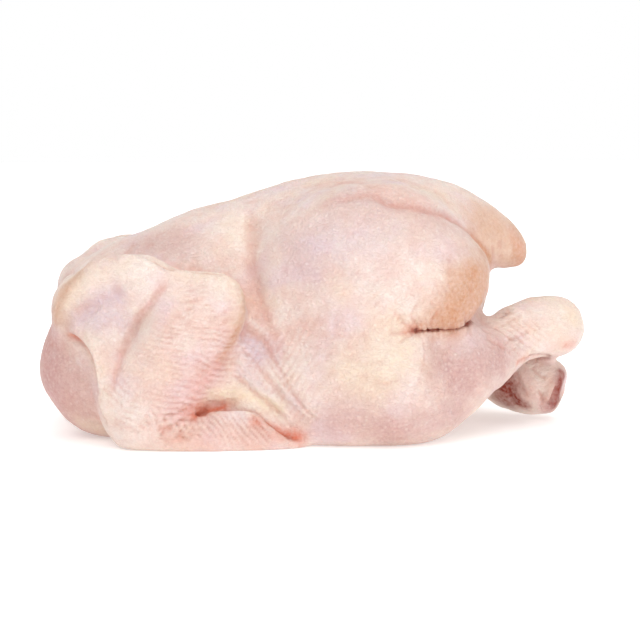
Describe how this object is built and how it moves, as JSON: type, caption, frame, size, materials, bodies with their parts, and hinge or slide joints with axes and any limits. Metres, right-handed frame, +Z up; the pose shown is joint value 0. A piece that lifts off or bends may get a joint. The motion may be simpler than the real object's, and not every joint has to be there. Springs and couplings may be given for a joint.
{
  "type": "whole raw chicken",
  "caption": "Plucked and drawn raw bird lying on its breast, with folded wings and crossed legs ending at the hocks. Prop for kitchen, shop and cooking scenes.",
  "frame": {"origin": "middle of the bounds, at the level of the surface that the bird lies on", "axes": "+X from the neck to the tail and the leg ends, +Z up, the bird's left side faces -Y"},
  "size_m": [0.28, 0.1592, 0.1315],
  "materials": {
    "skin": "moist raw skin, satin"
  },
  "bodies": {
    "root": {"chicken": "skin"}
  },
  "joints": []
}
